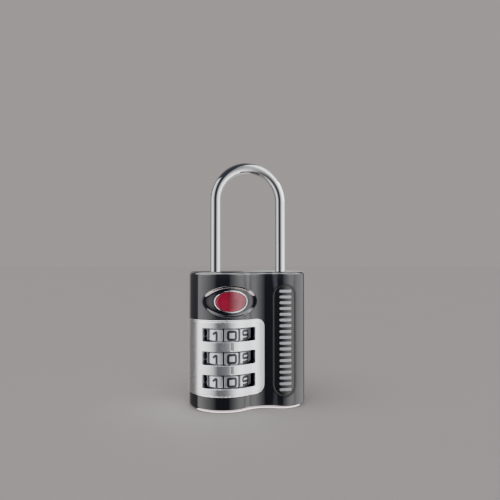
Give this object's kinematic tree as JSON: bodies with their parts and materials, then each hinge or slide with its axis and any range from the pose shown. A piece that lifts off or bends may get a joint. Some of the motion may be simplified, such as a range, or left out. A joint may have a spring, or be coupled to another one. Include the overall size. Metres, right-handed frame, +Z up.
{
  "type": "luggage combination padlock",
  "caption": "Luggage padlock with a dial barrel, a key barrel and a long chromed shackle.",
  "frame": {"origin": "centre of the bounding box's underside, on the bottom cover's face", "axes": "+Z up along the shackle's travel, -Y the face with the dials' windows, +X towards the key barrel"},
  "size_m": [0.029, 0.0178, 0.0605],
  "materials": {
    "black_lacquer": "glossy black lacquer over a zinc casting",
    "satin_cover": "satin nickel plate with bright bevelled edges",
    "bright_chrome": "polished chrome plate",
    "red_enamel": "clear coated dark red enamel",
    "black_panel": "satin black lacquer",
    "zinc_steel": "zinc plated steel",
    "spring_steel": "drawn spring steel",
    "brass": "turned brass",
    "dial_chrome": "satin chrome with black numerals"
  },
  "bodies": {
    "housing": {"housing": "black_lacquer", "dial_cover": "satin_cover", "badge_bezel": "bright_chrome", "badge_enamel": "red_enamel", "side_panel": "black_panel", "bottom_cover": "black_lacquer", "bottom_cover_screws": "zinc_steel", "key_cylinder_shell": "brass", "detent_spring": "spring_steel", "dial_spacers": "zinc_steel", "clutch_spring": "spring_steel", "shackle_spring": "spring_steel"},
    "shackle": {"shackle": "bright_chrome", "shackle_clip": "zinc_steel"},
    "carrier": {"spindle": "zinc_steel", "link_plate": "zinc_steel"},
    "dial_top": {"dial_ring_top": "dial_chrome", "clutch_top": "brass"},
    "dial_middle": {"dial_ring_middle": "dial_chrome", "clutch_middle": "brass"},
    "dial_bottom": {"dial_ring_bottom": "dial_chrome", "clutch_bottom": "brass"},
    "key_plug": {"key_plug": "brass", "key_wafers": "brass", "wafer_springs": "spring_steel", "plug_cam": "zinc_steel", "cam_screw": "zinc_steel"},
    "catch": {"catch": "zinc_steel", "catch_spring": "spring_steel"}
  },
  "joints": [
    {"name": "shackle_lift", "type": "slide", "parent": "housing", "child": "shackle", "axis": [0, 0, 1], "range_m": [0, 0.0055], "deforming": ["shackle_spring"]},
    {"name": "carrier_lift", "type": "slide", "parent": "housing", "child": "carrier", "axis": [0, 0, 1], "range_m": [0, 0.0055]},
    {"name": "dial_top_turn", "type": "hinge", "parent": "housing", "child": "dial_top", "pos_m": [-0.00565, -0.00232, 0.0182], "axis": [0, 0, 1], "continuous": true, "deforming": ["detent_spring"]},
    {"name": "dial_middle_turn", "type": "hinge", "parent": "housing", "child": "dial_middle", "pos_m": [-0.00565, -0.00232, 0.0127], "axis": [0, 0, 1], "continuous": true},
    {"name": "dial_bottom_turn", "type": "hinge", "parent": "housing", "child": "dial_bottom", "pos_m": [-0.00565, -0.00232, 0.0072], "axis": [0, 0, 1], "continuous": true},
    {"name": "key_turn", "type": "hinge", "parent": "housing", "child": "key_plug", "pos_m": [0.00835, -0.00232, 0.005], "axis": [0, 0, 1], "range_deg": [0, 90]},
    {"name": "catch_slide", "type": "slide", "parent": "carrier", "child": "catch", "axis": [-1, 0, 0], "range_m": [0, 0.001], "deforming": ["catch_spring"]}
  ],
  "couplings": [
    {"joint": "carrier_lift", "follows": "shackle_lift", "ratio": 1},
    {"joint": "catch_slide", "follows": "key_turn", "m_per_rad": 0.0006366}
  ]
}
